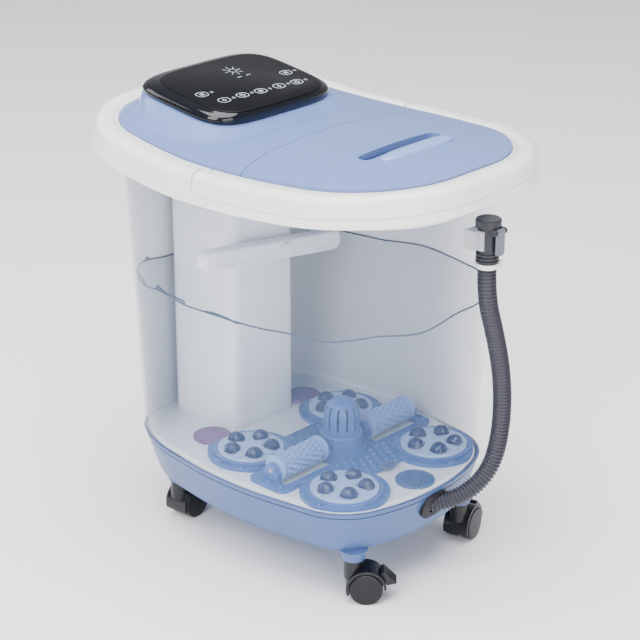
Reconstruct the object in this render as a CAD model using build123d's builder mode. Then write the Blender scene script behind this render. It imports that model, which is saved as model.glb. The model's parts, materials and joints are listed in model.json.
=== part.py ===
from build123d import *
import os
from math import cos, radians, sin, tan

os.makedirs("parts", exist_ok=True)

# Pedicure foot bath on four casters. Millimetres, +Z up, -Y is the lid side, +Y the panel side.
# ---------------------------------------------------------------- driving dimensions
# right halves of the two plan outlines, front to rear: lid opening and top of the base
RIM_HALF = [(62.8, -189.8), (118.4, -136.1), (133.4, -11.1), (117.8, 148.9), (80.2, 176.1)]
BASE_HALF = [(41.8, -158.8), (108.8, -132.2), (131.0, 1.1), (112.9, 121.4), (77.8, 171.6)]
BASE_BOTTOM_Z = 58.0
BASE_TOP_Z = 99.0
BASE_DRAFT = 17.0            # degrees that the skirt leans in towards its foot
SHELL = 3.0                  # wall of the moulded shells
WALL_TOP_Z = 386.0
LEDGE_DROP = 4.5             # lid ledge below the saddle line
# saddle line of the rim: lowest at the waist, rising to the front and more to the rear
WAIST_Y = 36.0
WAIST_Z = 414.5
FRONT_RISE, FRONT_REACH = 10.3, 227.0
REAR_RISE, REAR_REACH = 16.7, 141.0
DOME = 12.0                  # height of the lid's crown above the saddle line
RIM_REACH = 26.5             # how far the rim's lower lip stands outside the lid outline
RIM_DEPTH = 28.0
HANDLE_DEPTH = 19.5
PIVOT_Y = 2.0
PIVOT_DROP = 3.4
SEAM_Y = -20.0
FLOOR_Z = 99.0               # upper face of the basin floor
PLATE_Z = 103.0              # upper face of the massage plate
DISC_X, DISC_REAR_Y, DISC_FRONT_Y = 65.0, 25.0, -99.5
DISC_R = 33.0
DISC_TOP_Z = 109.0
ROLLER_Y, ROLLER_Z, ROLLER_R = -37.0, 114.0, 10.0
FILTER_Y, FILTER_R, SUMP_R = -131.0, 19.0, 16.0
LENS_X, LENS_Y, LENS_R = 66.0, 79.0, 19.0
DOME_Y = -36.0               # herb dome between the rollers
COLUMN_HALF, COLUMN_FRONT_Y, COLUMN_REAR_Y = 45.0, 69.0, 158.0
BAR_LENGTH, BAR_HEIGHT, BAR_DEPTH, BAR_TILT = 192.0, 20.0, 12.0, 8.0
BAR_BACK_Y, BAR_Z = 64.0, 286.0
KNOB_OFFSET = 14.0           # spray knob, along the bar from its middle
HOSE_R = 8.8
HOSE_EXIT = Vector(0, -153.9, 83)
HOSE_END = Vector(14, -198.5, 331)
WHEEL_R, WHEEL_WIDTH = 16.0, 11.0
TRAIL = 12.0
CASTERS = [(-78.0, -123.0, -47.0), (78.0, -123.0, 15.0), (-78.0, 116.0, 5.0), (78.0, 116.0, 100.0)]
RUNNING = 0.05               # radial clearance of pins and shafts
# the plan is drawn from the handle's pivots; the files have the origin under the middle of the bath
ROW_FRAME = Location((0, 7.5, 0))


# ---------------------------------------------------------------- shared shapes
def corner_radii(points, share, closed):
    """Arc radius at each corner that uses `share` of the shorter run beside it."""
    radii = []
    count = len(points)
    corners = range(count) if closed else range(1, count - 1)
    for i in corners:
        before = Vector(points[i]) - Vector(points[i - 1])
        after = Vector(points[(i + 1) % count]) - Vector(points[i])
        turn = radians(before.get_angle(after))
        radii.append(share * min(before.length, after.length) / tan(turn / 2))
    return radii


def outline(half):
    """Closed smooth outline, mirrored about the YZ plane."""
    points = half + [(-x, y) for x, y in reversed(half)]
    with BuildLine() as line:
        FilletPolyline(*points, radius=corner_radii(points, 0.49, True), close=True)
    return line.edges()


RIM_OUTLINE = outline(RIM_HALF)
BASE_OUTLINE = outline(BASE_HALF)


def saddle(y):
    """Height of the rim's saddle line."""
    if y < WAIST_Y:
        return WAIST_Z + FRONT_RISE * ((WAIST_Y - y) / FRONT_REACH) ** 2
    return WAIST_Z + REAR_RISE * ((y - WAIST_Y) / REAR_REACH) ** 2


def saddle_face(top_drop, bottom_drop, front=-240.0, rear=240.0, top_corner=0, corner=0):
    """Side view of a band that follows the saddle line; corners are rounded at its rear end."""
    with BuildSketch(Plane.YZ) as side:
        with BuildLine():
            stations = [front + (rear - front) * step / 10 for step in range(11)]
            for drop in (top_drop, bottom_drop):
                Spline(*[(y, saddle(y) - drop) for y in stations])
            for y in (front, rear):
                Line((y, saddle(y) - top_drop), (y, saddle(y) - bottom_drop))
        make_face()
        if corner:
            fillet(side.vertices().group_by(Axis.X)[-1].sort_by(Axis.Y)[0], corner)
            fillet(side.vertices().group_by(Axis.X)[-1].sort_by(Axis.Y)[-1], top_corner)
    return side.sketch


def crown(y):
    """Height of the lid's centre line, flush with the rim at both ends."""
    return saddle(y) + DOME * (1 - ((y + 7) / 184) ** 4)


def dome_block(drop):
    """Everything above the domed lid surface, lowered by `drop`."""
    stations = (-204, -186, -150, -100, -30, 36, 100, 140, 170, 190)
    with BuildLine(Plane.YZ) as spine:
        Spline(*[(y, crown(y) - drop) for y in stations])
    start = Plane(origin=spine.line @ 0, x_dir=(1, 0, 0), z_dir=spine.line % 0)
    with BuildPart() as block:
        with BuildSketch(start):
            with BuildLine():
                arc = ThreePointArc((-165, 19), (0, 0), (165, 19))
                Polyline(arc @ 1, (165, -70), (-165, -70), arc @ 0)
            make_face()
        sweep(path=spine.line)
    return block.part


def grown(edges, amount):
    """Plan area of an outline grown by `amount`."""
    with BuildSketch() as area:
        make_face(edges)
        offset(amount=amount)
    return area.sketch


def seam_face(y):
    """Plan area behind the seam between the front lid and the rear cover."""
    with BuildSketch() as area:
        with BuildLine():
            Line((-75, y), (75, y))
            right = TangentArc((75, y), (131, y - 13), tangent=(1, 0))
            left = TangentArc((-75, y), (-131, y - 13), tangent=(-1, 0))
            Polyline(right @ 1, (220, y - 13), (220, 240), (-220, 240), (-220, y - 13), left @ 1)
        make_face()
    return area.sketch


# ---------------------------------------------------------------- base
front_wall = Plane(origin=HOSE_EXIT, x_dir=(1, 0, 0),
                   z_dir=(0, -cos(radians(BASE_DRAFT)), -sin(radians(BASE_DRAFT))))
rear_wall = Plane(origin=(0, 165.2, 78), x_dir=(-1, 0, 0),
                  z_dir=(0, cos(radians(BASE_DRAFT)), -sin(radians(BASE_DRAFT))))

with BuildPart() as base_skirt:
    with BuildSketch(Plane.XY.offset(BASE_TOP_Z)):
        make_face(BASE_OUTLINE)
    extrude(amount=-(BASE_TOP_Z - BASE_BOTTOM_Z), taper=BASE_DRAFT)
    with BuildSketch(Plane.XY.offset(BASE_TOP_Z)):
        add(grown(BASE_OUTLINE, -SHELL))
    extrude(amount=-(BASE_TOP_Z - BASE_BOTTOM_Z), taper=BASE_DRAFT, mode=Mode.SUBTRACT)
    # groove under the top bead
    with BuildSketch(Plane.XY.offset(BASE_TOP_Z - 5.5)):
        add(grown(BASE_OUTLINE, 5))
        add(grown(BASE_OUTLINE, -2.6), mode=Mode.SUBTRACT)
    extrude(amount=1.3, mode=Mode.SUBTRACT)
    with BuildSketch(front_wall):
        SlotOverall(31, 21)
    extrude(amount=10, both=True, mode=Mode.SUBTRACT)
    with BuildSketch(rear_wall):
        RectangleRounded(28, 20, 3)
    extrude(amount=10, both=True, mode=Mode.SUBTRACT)
base_skirt.part.label = "base_skirt"
export_step(base_skirt.part.moved(ROW_FRAME), "parts/base_skirt.step")

DISCS = [(x, y) for x in (-DISC_X, DISC_X) for y in (DISC_REAR_Y, DISC_FRONT_Y)]
PLATE_THICK = 3.4
POSTS = [(-98, -45), (98, -45), (-98, 60), (98, 60), (-45, 146), (45, 146)]
STEM_R = 4.0
with BuildPart() as base_plate:
    with BuildSketch(Plane.XY.offset(BASE_BOTTOM_Z - PLATE_THICK)):
        add(grown(BASE_OUTLINE, -14.5))
    extrude(amount=PLATE_THICK)
    with BuildSketch(Plane.XY.offset(BASE_BOTTOM_Z)):
        with Locations(*POSTS):
            Circle(5)
    extrude(amount=FLOOR_Z - 4 - BASE_BOTTOM_Z)
    # tapered caster bosses
    with BuildSketch(Plane.XY.offset(BASE_BOTTOM_Z - PLATE_THICK)):
        with Locations(*[(x, y) for x, y, swivel in CASTERS]):
            Circle(14)
    extrude(amount=-10.6, taper=16)
    with BuildSketch(Plane.XY.offset(44)):
        with Locations(*[(x, y) for x, y, swivel in CASTERS]):
            Circle(STEM_R)
    extrude(amount=BASE_BOTTOM_Z - 46, mode=Mode.SUBTRACT)
    with BuildSketch(Plane.XY.offset(BASE_BOTTOM_Z - PLATE_THICK)):
        with Locations(*POSTS):
            Circle(1.6)
    extrude(amount=16, mode=Mode.SUBTRACT)
base_plate.part.label = "base_plate"
export_step(base_plate.part.moved(ROW_FRAME), "parts/base_plate.step")

with BuildPart() as base_screws:
    with BuildSketch(Plane.XY.offset(BASE_BOTTOM_Z - PLATE_THICK)):
        with Locations(*POSTS):
            Circle(3.6)
    extrude(amount=-2)
    with BuildSketch(Plane.XY.offset(BASE_BOTTOM_Z - PLATE_THICK)):
        with Locations(*POSTS):
            Circle(1.6)
    extrude(amount=15)
base_screws.part.label = "base_screws"
export_step(base_screws.part.moved(ROW_FRAME), "parts/base_screws.step")

with BuildPart() as basin_floor:
    with BuildSketch(Plane.XY.offset(FLOOR_Z - 4)):
        add(grown(BASE_OUTLINE, -4.6))
    extrude(amount=4)
    with BuildSketch(Plane.XY.offset(FLOOR_Z - 4)):
        with Locations(*DISCS):
            Circle(5.3)
        with Locations((0, FILTER_Y)):
            Circle(SUMP_R - 3)
        with Locations((KNOB_OFFSET, COLUMN_FRONT_Y + 16)):
            Circle(7)
    extrude(amount=4, mode=Mode.SUBTRACT)
basin_floor.part.label = "basin_floor"
export_step(basin_floor.part.moved(ROW_FRAME), "parts/basin_floor.step")

# ---------------------------------------------------------------- basin wall and rim
with BuildPart() as wall_envelope:
    with BuildSketch(Plane.XY.offset(BASE_TOP_Z)):
        add(grown(BASE_OUTLINE, -1))
    with BuildSketch(Plane.XY.offset(WALL_TOP_Z)):
        add(grown(RIM_OUTLINE, -3.4))
    loft()

with BuildPart() as basin_wall:
    add(wall_envelope)
    with BuildSketch(Plane.XY.offset(BASE_TOP_Z)):
        add(grown(BASE_OUTLINE, -1 - SHELL))
    with BuildSketch(Plane.XY.offset(WALL_TOP_Z)):
        add(grown(RIM_OUTLINE, -3.4 - SHELL))
    loft(mode=Mode.SUBTRACT)
basin_wall.part.label = "basin_wall"
export_step(basin_wall.part.moved(ROW_FRAME), "parts/basin_wall.step")

COLLAR = 4.0
with BuildPart() as rim_band:
    with BuildSketch(Plane.XY.offset(WALL_TOP_Z - 2)):
        add(grown(RIM_OUTLINE, RIM_REACH + 1))
    extrude(amount=70, taper=8)
    with BuildSketch(Plane.XY.offset(WALL_TOP_Z - 2)):
        add(grown(RIM_OUTLINE, 0.6))
    extrude(amount=70, mode=Mode.SUBTRACT)
    extrude(saddle_face(0, RIM_DEPTH), amount=250, both=True, mode=Mode.INTERSECT)
    top_faces = rim_band.faces().filter_by(lambda face: face.normal_at().Z > 0.9)
    outer_edges = top_faces.edges().filter_by(
        lambda edge: (edge.center().X / 143) ** 2 + (edge.center().Y / 200) ** 2 > 1
        and edge.geom_type != GeomType.LINE)
    fillet(outer_edges, 9)

# the carry handle is the top of the front half of the band; it turns on two pins
with BuildPart() as carry_handle:
    add(rim_band)
    with BuildSketch(Plane.XY.offset(WALL_TOP_Z - 2)):
        add(grown(RIM_OUTLINE, COLLAR + 0.4))
    extrude(amount=70, mode=Mode.SUBTRACT)
    extrude(saddle_face(-6, HANDLE_DEPTH, rear=PIVOT_Y + 2.6, top_corner=2, corner=7),
            amount=250, both=True, mode=Mode.INTERSECT)
    pivot_z = saddle(PIVOT_Y) - PIVOT_DROP
    with BuildSketch(Plane.YZ):
        with Locations((PIVOT_Y, pivot_z)):
            Circle(1.5 + RUNNING)
    extrude(amount=150.05, both=True, mode=Mode.SUBTRACT)
carry_handle.part.label = "carry_handle"
export_step(carry_handle.part.moved(ROW_FRAME), "parts/carry_handle.step")

with BuildPart() as handle_pins:
    for side in (-1, 1):
        with BuildSketch(Plane.YZ.offset(side * 132.4)):
            with Locations((PIVOT_Y, pivot_z)):
                Circle(1.5)
        extrude(amount=side * 17.4)
handle_pins.part.label = "handle_pins"
export_step(handle_pins.part.moved(ROW_FRAME), "parts/handle_pins.step")

with BuildPart() as rim_ring:
    add(rim_band)
    with BuildPart(mode=Mode.PRIVATE) as pocket:
        extrude(saddle_face(-9, HANDLE_DEPTH + 0.4, rear=PIVOT_Y + 4.6, top_corner=1, corner=7),
                amount=250, both=True)
        with BuildSketch(Plane.XY.offset(WALL_TOP_Z - 4)):
            add(grown(RIM_OUTLINE, COLLAR))
        extrude(amount=90, mode=Mode.SUBTRACT)
    add(pocket, mode=Mode.SUBTRACT)
rim_lip = rim_ring.part
with BuildPart() as ledge_cutter:
    with BuildSketch(Plane.XY.offset(WALL_TOP_Z)):
        add(grown(RIM_OUTLINE, 0.6))
    extrude(amount=90)
    extrude(saddle_face(-60, LEDGE_DROP), amount=250, both=True, mode=Mode.INTERSECT)
with BuildPart() as rim_ring:
    with BuildSketch(Plane.XY.offset(WALL_TOP_Z)):
        add(grown(RIM_OUTLINE, 2))
        add(grown(RIM_OUTLINE, -6.4), mode=Mode.SUBTRACT)
    extrude(amount=60)
    extrude(saddle_face(2, 80), amount=250, both=True, mode=Mode.INTERSECT)
    add(rim_lip)
    add(ledge_cutter, mode=Mode.SUBTRACT)
    with BuildSketch(Plane.YZ):
        with Locations((PIVOT_Y, pivot_z)):
            Circle(1.5)
    extrude(amount=149.8, both=True, mode=Mode.SUBTRACT)
rim_ring.part.label = "rim_ring"
export_step(rim_ring.part.moved(ROW_FRAME), "parts/rim_ring.step")

# ---------------------------------------------------------------- lid and rear cover
above_lid = dome_block(0)
under_lid = dome_block(4)
GRIP_Y = -113.0

with BuildPart() as cover_skin:
    with BuildSketch(Plane.XY.offset(WALL_TOP_Z)):
        add(grown(RIM_OUTLINE, -0.5))
    extrude(amount=80)
    add(above_lid, mode=Mode.SUBTRACT)
    add(under_lid, mode=Mode.INTERSECT)

with BuildPart() as cover_edge:
    with BuildSketch(Plane.XY.offset(WALL_TOP_Z)):
        add(grown(RIM_OUTLINE, -0.5))
        add(grown(RIM_OUTLINE, -5), mode=Mode.SUBTRACT)
    extrude(amount=80)
    extrude(saddle_face(-30, LEDGE_DROP), amount=250, both=True, mode=Mode.INTERSECT)
    add(above_lid, mode=Mode.SUBTRACT)

with BuildPart() as front_lid:
    add(cover_skin)
    add(cover_edge)
    extrude(seam_face(SEAM_Y - 0.4), amount=500, mode=Mode.SUBTRACT)
    add(rim_ring, mode=Mode.SUBTRACT)
    with BuildSketch(Plane.XY.offset(408)):
        with Locations((0, GRIP_Y)):
            RectangleRounded(114, 34, 7)
    extrude(amount=24)
    add(above_lid, mode=Mode.SUBTRACT)
    with BuildSketch(Plane.XY.offset(410)):
        with Locations((0, GRIP_Y)):
            RectangleRounded(110, 30, 5)
    extrude(amount=13, mode=Mode.SUBTRACT)
    # slot for the fingers; the grip bar is left in front of it
    with BuildSketch(Plane.XY.offset(410)):
        with Locations((0, GRIP_Y + 7)):
            SlotOverall(106, 15)
    extrude(amount=40, mode=Mode.SUBTRACT)
front_lid.part.label = "front_lid"
export_step(front_lid.part.moved(ROW_FRAME), "parts/front_lid.step")

PANEL_Y, PANEL_Z, PANEL_TILT = 104.0, 437.5, 8.0
panel_plane = Plane(origin=(0, PANEL_Y, PANEL_Z), x_dir=(1, 0, 0),
                    z_dir=(0, -sin(radians(PANEL_TILT)), cos(radians(PANEL_TILT))))
PANEL_WIDE, PANEL_LONG, PANEL_CORNER, PANEL_THICK = 167.0, 130.0, 36.0, 11.0

with BuildPart() as panel_seat:
    with BuildSketch(panel_plane):
        RectangleRounded(PANEL_WIDE - 2, PANEL_LONG - 2, PANEL_CORNER - 1)
    extrude(amount=-40, taper=-14)
    with BuildSketch(Plane.XY.offset(WALL_TOP_Z)):
        add(grown(RIM_OUTLINE, -7))
    extrude(amount=90, mode=Mode.INTERSECT)
    extrude(seam_face(SEAM_Y + 0.4), amount=500, mode=Mode.INTERSECT)
    add(under_lid, mode=Mode.INTERSECT)

with BuildPart() as rear_cover:
    add(cover_skin)
    add(cover_edge)
    extrude(seam_face(SEAM_Y + 0.4), amount=500, mode=Mode.INTERSECT)
    add(rim_ring, mode=Mode.SUBTRACT)
    add(panel_seat)
rear_cover.part.label = "rear_cover"
export_step(rear_cover.part.moved(ROW_FRAME), "parts/rear_cover.step")

# ---------------------------------------------------------------- control panel
PANEL_TOP_SHIFT = -6.0
with BuildPart() as panel_housing:
    with BuildSketch(panel_plane):
        RectangleRounded(PANEL_WIDE, PANEL_LONG, PANEL_CORNER)
    with BuildSketch(panel_plane.offset(PANEL_THICK)):
        with Locations((0, PANEL_TOP_SHIFT)):
            RectangleRounded(PANEL_WIDE - 20, PANEL_LONG - 16, PANEL_CORNER - 4)
    loft()
    with BuildSketch(panel_plane):
        RectangleRounded(120, 84, 8)
    extrude(amount=8, mode=Mode.SUBTRACT)
panel_housing.part.label = "panel_housing"
export_step(panel_housing.part.moved(ROW_FRAME), "parts/panel_housing.step")

with BuildPart() as panel_glass:
    with BuildSketch(panel_plane.offset(PANEL_THICK)):
        with Locations((0, PANEL_TOP_SHIFT)):
            RectangleRounded(PANEL_WIDE - 22, PANEL_LONG - 18, PANEL_CORNER - 5)
    extrude(amount=1.2)
panel_glass.part.label = "panel_glass"
export_step(panel_glass.part.moved(ROW_FRAME), "parts/panel_glass.step")

with BuildPart() as control_board:
    with BuildSketch(panel_plane.offset(6.4)):
        RectangleRounded(116, 80, 5)
    extrude(amount=1.6)
    with BuildSketch(panel_plane.offset(3.4)):
        with GridLocations(26, 22, 4, 3):
            Rectangle(12, 9)
    extrude(amount=3)
control_board.part.label = "control_board"
export_step(control_board.part.moved(ROW_FRAME), "parts/control_board.step")

# ---------------------------------------------------------------- water column and spray bar
bar_plane = Plane(origin=(0, BAR_BACK_Y, BAR_Z), z_dir=(0, -1, 0),
                  x_dir=(cos(radians(BAR_TILT)), 0, -sin(radians(BAR_TILT))))
knob_at = bar_plane.from_local_coords(Vector(KNOB_OFFSET, 0, 0))
COLUMN_TOP_Z = 408.0

with BuildPart() as service_column:
    with BuildSketch(Plane.XY.offset(FLOOR_Z)):
        with Locations((0, (COLUMN_FRONT_Y + COLUMN_REAR_Y) / 2)):
            RectangleRounded(2 * COLUMN_HALF, COLUMN_REAR_Y - COLUMN_FRONT_Y, 12)
    extrude(amount=COLUMN_TOP_Z - FLOOR_Z)
    with BuildSketch(Plane.XY.offset(FLOOR_Z)):
        with Locations((0, (COLUMN_FRONT_Y + COLUMN_REAR_Y) / 2)):
            RectangleRounded(2 * COLUMN_HALF - 6, COLUMN_REAR_Y - COLUMN_FRONT_Y - 6, 9)
    extrude(amount=COLUMN_TOP_Z - FLOOR_Z - 3, mode=Mode.SUBTRACT)
    with BuildSketch(Plane.XZ.offset(-COLUMN_FRONT_Y)):
        with Locations((knob_at.X, knob_at.Z)):
            Circle(4)
    extrude(amount=-5, mode=Mode.SUBTRACT)
service_column.part.label = "service_column"
export_step(service_column.part.moved(ROW_FRAME), "parts/service_column.step")

with BuildPart() as spray_bar:
    with BuildSketch(bar_plane):
        SlotOverall(BAR_LENGTH, BAR_HEIGHT)
    extrude(amount=BAR_DEPTH)
    fillet(spray_bar.faces().sort_by(Axis.Y)[0].edges(), 3)
    with BuildSketch(bar_plane.offset(BAR_DEPTH)):
        for row, count in ((-2.5, 20), (-5.8, 19)):
            with Locations((0, row)):
                with GridLocations(8, 1, count, 1):
                    Circle(0.8)
        with Locations((KNOB_OFFSET, 0)):
            Circle(9.3, mode=Mode.SUBTRACT)
    extrude(amount=-3, mode=Mode.SUBTRACT)
    with BuildSketch(bar_plane):
        with Locations((KNOB_OFFSET, 0)):
            Circle(4 + RUNNING)
    extrude(amount=BAR_DEPTH, mode=Mode.SUBTRACT)
spray_bar.part.label = "spray_bar"
export_step(spray_bar.part.moved(ROW_FRAME), "parts/spray_bar.step")

with BuildPart() as spray_knob:
    with BuildSketch(Plane.XZ.offset(-COLUMN_FRONT_Y - 3)):
        with Locations((knob_at.X, knob_at.Z)):
            Circle(4)
    extrude(amount=3 + COLUMN_FRONT_Y - BAR_BACK_Y + BAR_DEPTH + 0.3)
    with BuildSketch(Plane.XZ.offset(-BAR_BACK_Y + BAR_DEPTH + 0.3)):
        with Locations((knob_at.X, knob_at.Z)):
            Circle(7.5)
    extrude(amount=3)
    fillet(spray_knob.faces().sort_by(Axis.Y)[0].edges(), 1)
    with BuildSketch(Plane.XZ.offset(-COLUMN_FRONT_Y)):
        with Locations((knob_at.X, knob_at.Z)):
            Circle(8)
    extrude(amount=COLUMN_FRONT_Y - BAR_BACK_Y - 0.3)
spray_knob.part.label = "spray_knob"
export_step(spray_knob.part.moved(ROW_FRAME), "parts/spray_knob.step")

RISER_Y = COLUMN_FRONT_Y + 16
with BuildPart() as riser_pipe:
    with BuildSketch(Plane.XY.offset(72)):
        with Locations((KNOB_OFFSET, RISER_Y)):
            Circle(7)
    extrude(amount=knob_at.Z + 8 - 72)
    with BuildSketch(Plane.XZ.offset(-COLUMN_FRONT_Y - 3)):
        with Locations((knob_at.X, knob_at.Z)):
            Circle(5)
    extrude(amount=-(RISER_Y - COLUMN_FRONT_Y - 3))
riser_pipe.part.label = "riser_pipe"
export_step(riser_pipe.part.moved(ROW_FRAME), "parts/riser_pipe.step")

# ---------------------------------------------------------------- machinery under the floor
with BuildPart() as pump:
    with BuildSketch(Plane.YZ.offset(22)):
        with Locations((112, 76)):
            Circle(17)
    extrude(amount=46)
    with BuildSketch(Plane.XY.offset(66)):
        with Locations((KNOB_OFFSET, RISER_Y)):
            Circle(9)
        with Locations((24, 96)):
            Rectangle(34, 24)
    extrude(amount=6)
pump.part.label = "pump"
export_step(pump.part.moved(ROW_FRAME), "parts/pump.step")

with BuildPart() as heater:
    with BuildSketch(Plane.XZ.offset(0)):
        with Locations((-35, 74)):
            Circle(10)
    extrude(amount=-120)
    for y in (0, 116):
        with BuildSketch(Plane.XZ.offset(-y)):
            with Locations((-35, 74)):
                Circle(12.5)
        extrude(amount=-4)
    with BuildSketch(Plane.XY.offset(BASE_BOTTOM_Z)):
        with Locations((-35, 30), (-35, 90)):
            Rectangle(14, 8)
    extrude(amount=10)
heater.part.label = "heater"
export_step(heater.part.moved(ROW_FRAME), "parts/heater.step")

with BuildPart() as air_pump:
    with BuildSketch(Plane.XY.offset(BASE_BOTTOM_Z)):
        with Locations((2, 28)):
            RectangleRounded(40, 62, 5)
    extrude(amount=26)
    with BuildSketch(Plane.XZ.offset(3)):
        with Locations((2, 74)):
            Circle(3)
    extrude(amount=14)
air_pump.part.label = "air_pump"
export_step(air_pump.part.moved(ROW_FRAME), "parts/air_pump.step")

SHAFT_R = 5.0
with BuildPart() as gear_motors:
    with BuildSketch(Plane.XY.offset(BASE_BOTTOM_Z)):
        with Locations(*DISCS):
            Circle(15)
    extrude(amount=34)
    with BuildSketch(Plane.XY.offset(76)):
        with Locations(*DISCS):
            Circle(SHAFT_R + RUNNING)
    extrude(amount=20, mode=Mode.SUBTRACT)
gear_motors.part.label = "gear_motors"
export_step(gear_motors.part.moved(ROW_FRAME), "parts/gear_motors.step")

with BuildPart() as power_inlet:
    with BuildSketch(rear_wall):
        RectangleRounded(34, 26, 4)
        RectangleRounded(24, 16, 2, mode=Mode.SUBTRACT)
    extrude(amount=2)
    with BuildSketch(rear_wall):
        RectangleRounded(28, 20, 3)
        RectangleRounded(24, 16, 2, mode=Mode.SUBTRACT)
    extrude(amount=-16)
    with BuildSketch(rear_wall.offset(-18)):
        RectangleRounded(28, 20, 3)
    extrude(amount=2)
    with BuildSketch(rear_wall.offset(-16)):
        with Locations((0, 2.5), (-6, -2), (6, -2)):
            Rectangle(2, 4)
    extrude(amount=10)
power_inlet.part.label = "power_inlet"
export_step(power_inlet.part.moved(ROW_FRAME), "parts/power_inlet.step")

# ---------------------------------------------------------------- drain hose
exit_way = Vector(0.7, -0.714, 0)
hose_start = HOSE_EXIT - exit_way * 16
HOSE_ROUTE = [hose_start, hose_start + exit_way * 24, Vector(22.9, -176.3, 92.9),
              Vector(37.2, -187.8, 111.3), Vector(45.7, -193.1, 135.3), Vector(47, -197, 176),
              Vector(41, -198.7, 220), Vector(29, -198.5, 262), Vector(14, -198.5, 303), HOSE_END]
hose_radii = corner_radii(HOSE_ROUTE, 0.45, False)
print("hose arc radii:", [round(radius, 1) for radius in hose_radii])
with BuildPart() as drain_hose:
    with BuildLine() as route:
        FilletPolyline(*HOSE_ROUTE, radius=hose_radii)
    with BuildSketch(Plane(origin=route.line @ 0, z_dir=route.line % 0)):
        Circle(HOSE_R)
    sweep()
print("hose volume over section times length:",
      round(drain_hose.part.volume / (3.14159 * HOSE_R ** 2 * route.wire().length), 4))
drain_hose.part.label = "drain_hose"
export_step(drain_hose.part.moved(ROW_FRAME), "parts/drain_hose.step")

with BuildPart() as hose_grommet:
    with BuildSketch(front_wall):
        SlotOverall(37, 27)
    extrude(amount=3.5)
    with BuildSketch(front_wall):
        SlotOverall(31, 21)
    extrude(amount=-6)
    add(drain_hose, mode=Mode.SUBTRACT)
hose_grommet.part.label = "hose_grommet"
export_step(hose_grommet.part.moved(ROW_FRAME), "parts/hose_grommet.step")

with BuildPart() as drain_pipe:
    with BuildSketch(Plane.XY.offset(73)):
        with Locations((0, FILTER_Y)):
            Circle(SUMP_R)
    extrude(amount=22)
    with BuildSketch(Plane(origin=hose_start, z_dir=exit_way)):
        Circle(HOSE_R)
    extrude(amount=-10)
    with BuildSketch(Plane.XY.offset(76)):
        with Locations((0, FILTER_Y)):
            Circle(SUMP_R - 3)
    extrude(amount=19, mode=Mode.SUBTRACT)
    add(drain_hose, mode=Mode.SUBTRACT)
    add(hose_grommet, mode=Mode.SUBTRACT)
drain_pipe.part.label = "drain_pipe"
export_step(drain_pipe.part.moved(ROW_FRAME), "parts/drain_pipe.step")

collar_plane = Plane.XY.offset(HOSE_END.Z)
with BuildPart() as hose_collar:
    with BuildSketch(collar_plane):
        with Locations((HOSE_END.X, HOSE_END.Y)):
            Circle(HOSE_R + 0.6)
    extrude(amount=16)
    for rib in range(3):
        with BuildSketch(collar_plane.offset(6.5 + 3.2 * rib)):
            with Locations((HOSE_END.X, HOSE_END.Y)):
                Circle(HOSE_R + 1.8)
        extrude(amount=1.8)
hose_collar.part.label = "hose_collar"
export_step(hose_collar.part.moved(ROW_FRAME), "parts/hose_collar.step")

with BuildPart() as cable_tie:
    with BuildSketch(collar_plane.offset(1)):
        with Locations((HOSE_END.X, HOSE_END.Y)):
            Circle(HOSE_R + 2.2)
            with Locations((10, -6)):
                Rectangle(7, 6)
            Circle(HOSE_R + 0.6, mode=Mode.SUBTRACT)
    extrude(amount=4.4)
cable_tie.part.label = "cable_tie"
export_step(cable_tie.part.moved(ROW_FRAME), "parts/cable_tie.step")

LEVER_Y, LEVER_Z = HOSE_END.Y - 13.0, HOSE_END.Z + 37.0
with BuildPart() as hose_plug:
    with BuildSketch(collar_plane.offset(16)):
        with Locations((HOSE_END.X, HOSE_END.Y)):
            Circle(HOSE_R + 0.5)
    extrude(amount=26)
    with BuildSketch(collar_plane.offset(40)):
        with Locations((HOSE_END.X, HOSE_END.Y)):
            Circle(HOSE_R + 3)
    extrude(amount=7)
    fillet(hose_plug.faces().sort_by(Axis.Z)[-1].edges(), 1.5)
    # ears that carry the lever's pin
    for x in (-6.5, 6.5):
        with BuildSketch(Plane.YZ.offset(HOSE_END.X + x)):
            with Locations((LEVER_Y, LEVER_Z)):
                Circle(2.8)
            with Locations((LEVER_Y + 3, LEVER_Z)):
                Rectangle(6, 5.6)
        extrude(amount=1, both=True)
    with BuildSketch(Plane.YZ.offset(HOSE_END.X)):
        with Locations((LEVER_Y, LEVER_Z)):
            Circle(1.2)
    extrude(amount=6, both=True)
hose_plug.part.label = "hose_plug"
export_step(hose_plug.part.moved(ROW_FRAME), "parts/hose_plug.step")

with BuildPart() as hose_lever:
    with BuildSketch(Plane.YZ.offset(HOSE_END.X)):
        with Locations((LEVER_Y, LEVER_Z)):
            Circle(2.6)
        with Locations((LEVER_Y - 0.8, LEVER_Z - 11)):
            Rectangle(2.6, 22)
        with Locations((LEVER_Y, LEVER_Z)):
            Circle(1.2 + RUNNING, mode=Mode.SUBTRACT)
    extrude(amount=5, both=True)
    fillet(hose_lever.edges().filter_by(Axis.Y).group_by(Axis.Z)[0], 3)
hose_lever.part.label = "hose_lever"
export_step(hose_lever.part.moved(ROW_FRAME), "parts/hose_lever.step")

with BuildPart() as hose_clip:
    with BuildSketch(collar_plane.offset(19)):
        with Locations((HOSE_END.X, HOSE_END.Y)):
            Circle(HOSE_R + 3)
            with Locations((-4, 10)):
                Rectangle(24, 14)
            with Locations((0, -9)):
                Rectangle(40, 12, mode=Mode.SUBTRACT)
            Circle(HOSE_R + 0.5, mode=Mode.SUBTRACT)
    extrude(amount=18)
    add(wall_envelope, mode=Mode.SUBTRACT)
hose_clip.part.label = "hose_clip"
export_step(hose_clip.part.moved(ROW_FRAME), "parts/hose_clip.step")

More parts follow.
